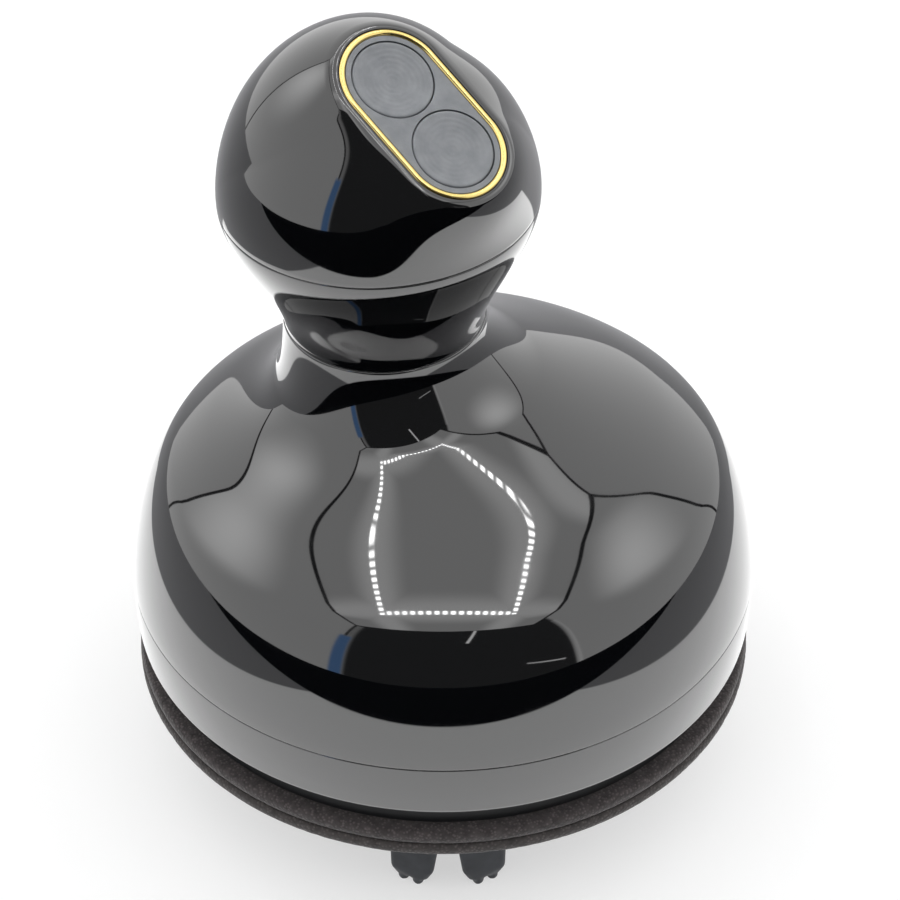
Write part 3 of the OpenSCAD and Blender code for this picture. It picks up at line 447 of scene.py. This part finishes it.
def turnedBrass():
    # turned brass bush: warm yellow with fine tool rings of 0.25 mm
    material, tree, shader, place = newMaterial("turned_brass", "#c9a14e", 0.28, Metallic=1.0)
    rings = addNode(tree, "ShaderNodeTexWave", {"bands_direction": "Z"}, {
        "Scale": perMillimetre(0.25) / 20, "Distortion": 0.3}, {"Vector": place})
    roughen(tree, shader, rings.outputs["Fac"], 0.01)
    return material


def contactPlating():
    # gold flash on a nickel pin: bright yellow, nearly mirror smooth
    material, tree, shader, place = newMaterial("contact_gold_flash", "#e6bf5c", 0.2, Metallic=1.0)
    tree.links.new(fade(tree, grain(tree, place, 0.7), 0.3, 0.7, 0.14, 0.28), shader.inputs["Roughness"])
    return material


def solderMask():
    # glass-epoxy board under green solder mask: deep green with copper tracks showing through
    material, tree, shader, place = newMaterial("solder_mask_board", "#0f5a33", 0.35, IOR=1.55)
    tracks = addNode(tree, "ShaderNodeTexBrick", {"offset": 0.3}, {
        "Scale": perMillimetre(12), "Mortar Size": 0.02, "Color1": linear("#0d4f2d"),
        "Color2": linear("#10592f"), "Mortar": linear("#1f7a45")}, {"Vector": place})
    tree.links.new(tracks.outputs["Color"], shader.inputs["Base Color"])
    return material


def shrinkSleeve():
    # PVC shrink sleeve on a cell: smooth blue film, slightly wrinkled
    material, tree, shader, place = newMaterial("pvc_shrink_sleeve", "#23508f", 0.3, IOR=1.52)
    roughen(tree, shader, grain(tree, place, 5.0), 0.08)
    return material


finishes = {
    "gloss_black": polishedAbs(),
    "matt_black": sparkAbs("spark_textured_abs", "#17181a"),
    "seal_rubber": sealRubber(),
    "foam": closedCellFoam("closed_cell_foam", "#2f2b2b", "#5d5656"),
    "skirt_rubber": closedCellFoam("dense_foam_edge", "#312e2d", "#5a5453"),
    "trim_gold": platedGold(),
    "soft_touch": softTouch("soft_touch_rubber", "#76797d", "#8f9296"),
    "board": solderMask(),
    "bush_brass": turnedBrass(),
    "contact_gold": contactPlating(),
    "gear_resin": acetal(),
    "claw_silicone": clawSilicone(),
    "cell_sleeve": shrinkSleeve(),
    "steel": zincSteel(),
}
slotOf = {part["node"]: part["material_slot"] for part in frame["record"]["subparts"]}
for name in nodes:
    nodes[name].data.materials.clear()
    nodes[name].data.materials.append(finishes[slotOf[name]])
print("materials made:", len(bpy.data.materials))

# ---------- modelling helpers, all sizes in millimetres ----------


def curvePoint(points, t):
    # a point on a cubic curve through four control points
    a, b, c, d = [Vector(p) for p in points]
    return a * (1 - t) ** 3 + b * 3 * t * (1 - t) ** 2 + c * 3 * t * t * (1 - t) + d * t ** 3


def curveWay(points, t):
    # the unit direction of that curve
    a, b, c, d = [Vector(p) for p in points]
    return ((b - a) * 3 * (1 - t) ** 2 + (c - b) * 6 * t * (1 - t) + (d - c) * 3 * t * t).normalized()


def insidePoint(points, t, depth):
    # a point at a depth to the left of the curve
    way = curveWay(points, t)
    return curvePoint(points, t) + depth * Vector((-way.y, way.x))


def roundCorner(before, corner, after, radius, steps=3):
    # short arc in place of a corner of a profile
    before, corner, after = Vector(before), Vector(corner), Vector(after)
    start = corner + (before - corner).normalized() * radius
    end = corner + (after - corner).normalized() * radius
    return [start.lerp(corner, t).lerp(corner.lerp(end, t), t) for t in [i / steps for i in range(steps + 1)]]


def spun(profile, sides):
    # a ring turned from a closed profile of [radius, height]
    bm = bmesh.new()
    verts = [bm.verts.new((p[0], 0, p[1])) for p in profile]
    edges = [bm.edges.new(pair) for pair in zip(verts, verts[1:] + verts[:1])]
    bmesh.ops.spin(bm, geom=verts + edges, cent=(0, 0, 0), axis=(0, 0, 1), angle=2 * math.pi,
                   steps=sides, use_merge=True)
    bmesh.ops.remove_doubles(bm, verts=bm.verts, dist=1e-4)
    bmesh.ops.recalc_face_normals(bm, faces=bm.faces)
    return bm


def loft(rings, around):
    # a skin over rings, each a function of the share of the way round, closed into a loop
    bm = bmesh.new()
    bmesh.ops.create_grid(bm, x_segments=around, y_segments=len(rings), size=0.5)
    for vert in bm.verts:
        ring = rings[round((vert.co.y + 0.5) * len(rings)) % len(rings)]
        vert.co = ring((vert.co.x + 0.5) % 1.0)
    bmesh.ops.remove_doubles(bm, verts=bm.verts, dist=1e-4)
    bmesh.ops.recalc_face_normals(bm, faces=bm.faces)
    return bm


def finish(bm, name, slot, body, replaced, place=Matrix(), smooth=40):
    # a finished piece: its place goes into its mesh, and millimetres become metres
    bmesh.ops.transform(bm, matrix=Matrix.Scale(0.001, 4) @ place, verts=bm.verts)
    mesh = bpy.data.meshes.new(name)
    bm.to_mesh(mesh)
    bm.free()
    mesh.materials.append(finishes[slot])
    mesh.shade_smooth()
    mesh.set_sharp_from_angle(angle=math.radians(smooth))
    piece = bpy.data.objects.new(name, mesh)
    scene.collection.objects.link(piece)
    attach(piece, body)
    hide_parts(*replaced)
    return piece


# ---------- casing ----------

casing = {
    "rimRadius": 52, "rimHeight": 28.5, "bandHeight": 9.7, "neckRadius": 15.7, "neckHeight": 57.5,
    # where the outline turns from the neck's sweep to the flare and from that to the side, its slope there,
    # and how far each end of the three curves pulls
    "waist": (21.2, 46.1), "shoulder": (43.7, 31.5), "slope": 39, "pulls": (4.2, 3.7, 11.0, 9.7, 7.9, 3.0),
    "leanReach": 0.5, "leanPower": 1.08,
    "neckPlace": (-6.65, 5.95), "leanLeft": 3.1, "leanFront": 1.6, "wall": 2.2, "holeRadius": 5.5,
    "flange": 3, "land": 5.2, "seamRound": 0.22, "rimRound": 1.1, "sides": 240, "rings": 30,
    # the band's lip inside the dome's rim, and the ledge that the tray sits on, from the band's inner side
    "lipFoot": 0.45, "lipTip": 0.5, "lipBack": 1.6, "ledge": 2.2, "ledgeLow": 3.5, "ledgeHigh": 5.1,
}


def domeOutline():
    # places, ways and shares of the neck's lean along the outline, from the neck down to the rim
    neck = Vector((casing["neckRadius"], casing["neckHeight"]))
    rim = Vector((casing["rimRadius"], casing["bandHeight"]))
    waist, shoulder, up = Vector(casing["waist"]), Vector(casing["shoulder"]), Vector((0, 1))
    slope = math.radians(casing["slope"])
    way = Vector((math.cos(slope), -math.sin(slope)))
    pulls, steps = casing["pulls"], casing["rings"]
    curves = [
        [neck, neck - pulls[0] * up, waist - pulls[1] * way, waist],
        [waist, waist + pulls[2] * way, shoulder - pulls[3] * way, shoulder],
        [shoulder, shoulder + pulls[4] * way, rim + pulls[5] * up, rim],
    ]
    places = [(curvePoint(c, i / steps), curveWay(c, i / steps)) for c in curves for i in range(steps)]
    places.append((rim, -up))
    lengths = [0]
    for (start, _), (end, _) in zip(places, places[1:]):
        lengths.append(lengths[-1] + (end - start).length)
    outline = []
    for (place, way), length in zip(places, lengths):
        ease = max(0, 1 - length / lengths[-1] / casing["leanReach"])
        outline.append((place.x, place.y, way, (ease * ease * (3 - 2 * ease)) ** casing["leanPower"]))
    return outline


def stationRing(radius, height, share):
    # ring of the casing, shifted and leant with its share of the neck
    lean, tip = math.radians(casing["leanLeft"] * share), math.radians(casing["leanFront"] * share)
    x, y = casing["neckPlace"]
    middle = Vector((x * share, y * share, casing["rimHeight"] + height))
    across = Vector((math.cos(lean), 0, math.sin(lean)))
    along = Vector((-math.sin(tip) * math.sin(lean), math.cos(tip), math.sin(tip) * math.cos(lean)))

    def ring(u):
        b = 2 * math.pi * u
        return middle + radius * (math.cos(b) * across + math.sin(b) * along)
    return ring


def domeShell():
    outline, soft, wall = domeOutline(), casing["seamRound"], casing["wall"]
    neck, top, hole = casing["neckRadius"], casing["neckHeight"], casing["holeRadius"]
    rim, band, low = casing["rimRadius"], casing["bandHeight"], casing["neckHeight"] - casing["flange"]
    stations = [(hole, top, 1)]
    stations += [(p.x, p.y, 1) for p in roundCorner((hole, top), (neck, top), (neck, top - 2), soft)]
    stations += [(r, h, share) for r, h, way, share in outline[1:-1]]
    stations += [(p.x, p.y, 0) for p in roundCorner((rim, band + 2), (rim, band), (rim - wall, band), soft)]
    inner = [(r + wall * way.y, h - wall * way.x, share) for r, h, way, share in outline[::6]]
    inner = [station for station in inner if station[1] < low - 1]
    stations += [(rim - wall, band, 0)] + inner[-2::-1] + [(neck - casing["land"], low, 1), (hole, low, 1)]
    rings = [stationRing(*station) for station in stations]
    finish(loft(rings, casing["sides"]), "dome_casing", "gloss_black", "housing", ["dome_shell"])


domeShell()


def bandRing():
    rim, low, high = casing["rimRadius"], casing["rimHeight"], casing["rimHeight"] + casing["bandHeight"]
    inner = rim - casing["wall"]
    edge, soft = casing["rimRound"], casing["seamRound"]
    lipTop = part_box("band_ring")[1][2] * 1000
    back, ledge = inner - casing["lipBack"], inner - casing["ledge"]
    outline = [(inner, low)]
    outline += roundCorner((inner, low), (rim, low), (rim, low + 5), edge, 8)
    outline += roundCorner((rim, high - 5), (rim, high), (inner, high), soft)
    outline += [(inner, high), (inner - casing["lipFoot"], high), (inner - casing["lipTip"], lipTop)]
    outline += [(back, lipTop), (back, low + casing["ledgeHigh"]), (ledge, low + casing["ledgeHigh"])]
    outline += [(ledge, low + casing["ledgeLow"]), (inner, low + casing["ledgeLow"])]
    finish(spun(outline, casing["sides"]), "casing_band", "gloss_black", "housing", ["band_ring"])


bandRing()
print("casing modelled")

# ---------- handle ----------

handle = {
    "foot": 15.6, "ball": 23.85, "ballHeight": 22.3, "seamDrop": 0.5, "wall": 2.0, "floor": 2.5,
    "seamRound": 0.2, "sides": 192, "rings": 30,
    # the lip that stands up into the upper shell
    "lipFit": 0.4, "lipHeight": 2, "lipWidth": 1.2, "lipRoot": 1,
}
panel = {
    "front": 33.1, "left": 7.3, "distance": 23.2, "sideSlope": 29, "endSlope": 43, "offset": 6.3,
    "radius": 7.7, "trimWidth": 0.95, "trimDepth": 1.25, "trimProud": 0.15, "fit": 0.05,
    "collar": 0.9, "collarDrop": 0.15, "ledge": 6.35, "ledgeDepth": 1.2, "around": 240,
    "keyRadius": 5.8, "keyRound": 0.35, "keyFoot": 14.6, "dish": 0.45, "ridge": 0.012, "ridgePitch": 0.75,
    "keySunk": 0.15, "stem": 1.1, "flangeOut": 0.35, "flangeDepth": 1.4,
}


def atNeck():
    x, y = casing["neckPlace"]
    place = Matrix.Translation((x, y, casing["rimHeight"] + casing["neckHeight"]))
    lean = Matrix.Rotation(math.radians(-casing["leanLeft"]), 4, "Y")
    return place @ lean @ Matrix.Rotation(math.radians(casing["leanFront"]), 4, "X")


def atPanel():
    tilt = Matrix.Rotation(math.radians(-panel["left"]), 4, "Y")
    tilt = tilt @ Matrix.Rotation(math.radians(panel["front"]), 4, "X")
    return atNeck() @ Matrix.Translation((0, 0, handle["ballHeight"])) @ tilt


def lowerShell():
    ball, drop, wall = handle["ball"], handle["seamDrop"], handle["wall"]
    seamHeight = handle["ballHeight"] - drop
    seamRadius = math.sqrt(ball * ball - drop * drop)
    foot = handle["foot"]
    side = [(foot, 0), (foot + 0.2, 6), (seamRadius - 0.3, seamHeight - 6), (seamRadius, seamHeight)]
    soft, steps = handle["seamRound"], handle["rings"]
    outline = [(casing["holeRadius"], 0)]
    outline += roundCorner((casing["holeRadius"], 0), (foot, 0), curvePoint(side, 0.05), soft)
    outline += [curvePoint(side, i / steps)[:] for i in range(1, steps)]
    lip = ball - wall - handle["lipFit"]
    lipInner, lipTop = lip - handle["lipWidth"], seamHeight + handle["lipHeight"]
    outline += roundCorner(curvePoint(side, 0.97), (seamRadius, seamHeight), (lip, seamHeight), soft)
    outline += [(lip, seamHeight), (lip, lipTop), (lipInner, lipTop)]
    outline += [(lipInner, seamHeight - handle["lipRoot"])]
    inner = [insidePoint(side, i / 12, wall) for i in range(12, -1, -1)]
    inner = [p[:] for p in inner if handle["floor"] < p.y < seamHeight - 1.5]
    outline += inner + [(inner[-1][0] - 0.6, handle["floor"]), (casing["holeRadius"], handle["floor"])]
    finish(spun(outline, handle["sides"]), "handle_lower_casing", "gloss_black", "housing",
           ["handle_lower_shell"], atNeck())


def stadiumPoint(radius, u):
    # point on the panel's outline: a round end, a straight side, and the same turned round
    half, c = u * 2 % 1.0, panel["offset"]
    sign = 1 if u < 0.5 else -1
    straight = 0.3
    if half < 1 - straight:
        a = math.pi * half / (1 - straight)
        point = Vector((radius * math.cos(a), c + radius * math.sin(a), 0))
    else:
        point = Vector((-radius, c * (1 - 2 * (half - 1 + straight) / straight), 0))
    return sign * point


def stadiumRing(radius, height):
    return lambda u: stadiumPoint(radius, u) + Vector((0, 0, height))


def meridian(reach, edge):
    # curve over the ball from the handle's seam up to a point on the panel's edge
    left, front = math.radians(panel["left"]), math.radians(panel["front"])
    axis = Vector((math.sin(left), math.cos(left) * math.sin(front), math.cos(left) * math.cos(front)))
    h = Vector((edge.x, edge.y, 0)).normalized()
    b = axis.dot(h)
    a = math.atan2(b, axis.z) + math.acos(-handle["seamDrop"] / (reach * math.hypot(axis.z, b)))
    up = Vector((0, 0, 1))
    start = reach * (math.sin(a) * h + math.cos(a) * up)
    startWay = math.sin(a) * up - math.cos(a) * h
    out = Vector((edge.x, edge.y - max(-panel["offset"], min(panel["offset"], edge.y)), 0)).normalized()
    fall = math.radians(panel["sideSlope"] + (panel["endSlope"] - panel["sideSlope"]) * h.y * h.y)
    endWay = math.sin(fall) * up - math.cos(fall) * out
    turn = math.acos(startWay.dot(endWay))
    pull = (edge - start).length * 2 / 3 * math.tan(turn / 4) / math.sin(turn / 2)
    return [start, start + pull * startWay, edge - pull * endWay, edge]


def meridianRing(reach, radius, height, t):
    edge = stadiumRing(radius, height)
    return lambda u: curvePoint(meridian(reach, edge(u)), t)


def upperShell():
    steps, top, fit = handle["rings"], panel["distance"], panel["fit"]
    collar, brow = panel["radius"] + panel["collar"], top - panel["collarDrop"]
    depth, wall = panel["trimDepth"], handle["wall"]
    reach = handle["ball"]
    # the seam's edge is rounded by starting a little inside and above it
    rings = [meridianRing(reach - 0.16, collar, brow, 0.0), meridianRing(reach - 0.05, collar, brow, 0.002)]
    rings += [meridianRing(reach, collar, brow, 0.008 + 0.992 * i / steps) for i in range(steps + 1)]
    rings += [stadiumRing(collar - 0.3, brow + 0.1), stadiumRing(collar - 0.6, brow + 0.15)]
    # the recess for the trim ring, its ledge, and the inner skin back down to the seam
    recess, shelf = panel["radius"] + fit, top - depth
    under = shelf - panel["ledgeDepth"]
    rings += [stadiumRing(recess, top - 0.02), stadiumRing(recess, shelf)]
    rings += [stadiumRing(panel["ledge"], shelf), stadiumRing(panel["ledge"], under)]
    rings += [meridianRing(reach - wall, panel["ledge"], under, i / 8) for i in range(7, -1, -1)]
    finish(loft(rings, panel["around"]), "handle_upper_casing", "gloss_black", "housing",
           ["handle_upper_shell"], atPanel())


lowerShell()
upperShell()


def trimRing():
    outer, inner = panel["radius"], panel["radius"] - panel["trimWidth"]
    low, high = panel["distance"] - panel["trimDepth"], panel["distance"] + panel["trimProud"]
    half = panel["trimWidth"] / 2
    bow = [math.pi * i / 12 for i in range(13)]
    rings = [stadiumRing(outer, low)]
    # the top is a full half round
    middle, crown = inner + half, high - half
    rings += [stadiumRing(middle + half * math.cos(a), crown + half * math.sin(a)) for a in bow]
    rings += [stadiumRing(inner, low)]
    finish(loft(rings, panel["around"]), "panel_trim_ring", "trim_gold", "housing", ["panel_trim"], atPanel())


trimRing()


def key(name, body, side):
    # dished key with faint turned ridges, its flange under the plate and its stem into the switch
    radius, top, foot = panel["keyRadius"], panel["distance"] - panel["keySunk"], panel["keyFoot"]
    flange = panel["distance"] - panel["trimDepth"] - 0.1
    stem, under, wide = panel["stem"], flange - panel["flangeDepth"], radius + panel["flangeOut"]
    outline = [(0, foot), (stem, foot), (stem, under), (wide, under), (wide, flange), (radius, flange)]
    outline += roundCorner((radius, flange), (radius, top), (0, top), panel["keyRound"], 6)
    edge = radius - panel["keyRound"] - 0.1
    for i in range(96):
        r = edge * (1 - i / 96)
        ridge = panel["ridge"] * math.cos(2 * math.pi * r / panel["ridgePitch"]) * min(1, i / 12)
        outline.append((r, top - panel["dish"] * (1 - (r / edge) ** 2) + ridge))
    outline.append((0, top - panel["dish"]))
    place = atPanel() @ Matrix.Translation((0, side * panel["offset"], 0))
    finish(spun(outline, 128), name, "soft_touch", body, [name[:-4]], place)


key("power_key_cap", "power_button", 1)
key("mode_key_cap", "mode_button", -1)
print("handle modelled")

# ---------- foam skirt ----------

skirt = {
    "inner": 45.0, "low": 19.4, "edgeDepth": 2.2, "edgeRadius": 52.4, "foamDepth": 2.5, "foamRadius": 52.2,
    "corner": 0.55, "bulge": 0.7, "wave": 0.1, "waveSize": 9.0, "pit": 0.05, "pitSize": 0.9,
    "around": 720, "fill": 0.9,
}


def foamLayer(name, node, slot, low, depth, outer):
    # die-cut foam ring: soft corners, a bulged side and an uneven, pitted skin
    inner, soft, high = skirt["inner"], skirt["corner"], low + depth
    outline = roundCorner((inner, high), (inner, low), (outer, low), soft, 4)
    outline += [(inner + (outer - inner) * i / 8, low) for i in range(1, 7)]
    half = depth / 2
    bulge = half * skirt["bulge"]
    bow = [math.pi * (i / 10 - 0.5) for i in range(11)]
    outline += [(outer - bulge + bulge * math.cos(a), low + half + half * math.sin(a)) for a in bow]
    outline += [(outer - (outer - inner) * i / 8, high) for i in range(2, 8)]
    outline += roundCorner((outer, high), (inner, high), (inner, low), soft, 4)
    bm = spun(outline, skirt["around"])
    for vert in bm.verts:
        out = Vector((vert.co.x, vert.co.y, 0)).normalized()
        wave = noise.noise(vert.co / skirt["waveSize"]) * skirt["wave"]
        pit = noise.noise(vert.co / skirt["pitSize"]) * skirt["pit"]
        vert.co += out * (min(0, wave) + min(0, pit)) + vert.normal * min(0, pit)
    piece = finish(bm, name, slot, "housing", [node], smooth=60)


foamLayer("skirt_foam_ring", "skirt_foam", "foam", skirt["low"] + skirt["edgeDepth"], skirt["foamDepth"],
          skirt["foamRadius"])
foamLayer("skirt_edge_ring", "skirt_edge", "skirt_rubber", skirt["low"], skirt["edgeDepth"],
          skirt["edgeRadius"])
print("skirt modelled")

# ---------- claws ----------

claws = {"voxel": 0.3, "smoothing": 4, "sharp": 180}


def softClaws(corner):
    # the hand's claws as one soft moulding: the CAD solid's skin, its edges rounded as silicone's are
    node = "claws_" + corner
    bm = bmesh.new()
    bm.from_mesh(nodes[node].data)
    bmesh.ops.remove_doubles(bm, verts=bm.verts, dist=1e-6)
    bmesh.ops.transform(bm, matrix=Matrix.Scale(1000, 4), verts=bm.verts)
    mesh = bpy.data.meshes.new(node + "_skin")
    bm.to_mesh(mesh)
    bm.free()
    holder = bpy.data.objects.new(node + "_skin", mesh)
    scene.collection.objects.link(holder)
    remesh = holder.modifiers.new("skin", "REMESH")
    remesh.mode = "VOXEL"
    remesh.voxel_size = claws["voxel"]
    smoother = holder.modifiers.new("soft", "SMOOTH")
    smoother.factor = 0.5
    smoother.iterations = claws["smoothing"]
    bm = bmesh.new()
    bm.from_object(holder, bpy.context.evaluated_depsgraph_get())
    bpy.data.objects.remove(holder)
    finish(bm, "soft_" + node, "claw_silicone", "hand_" + corner, [node], smooth=claws["sharp"])


for corner in corners:
    softClaws(corner)
print("claws modelled")

print("finished")
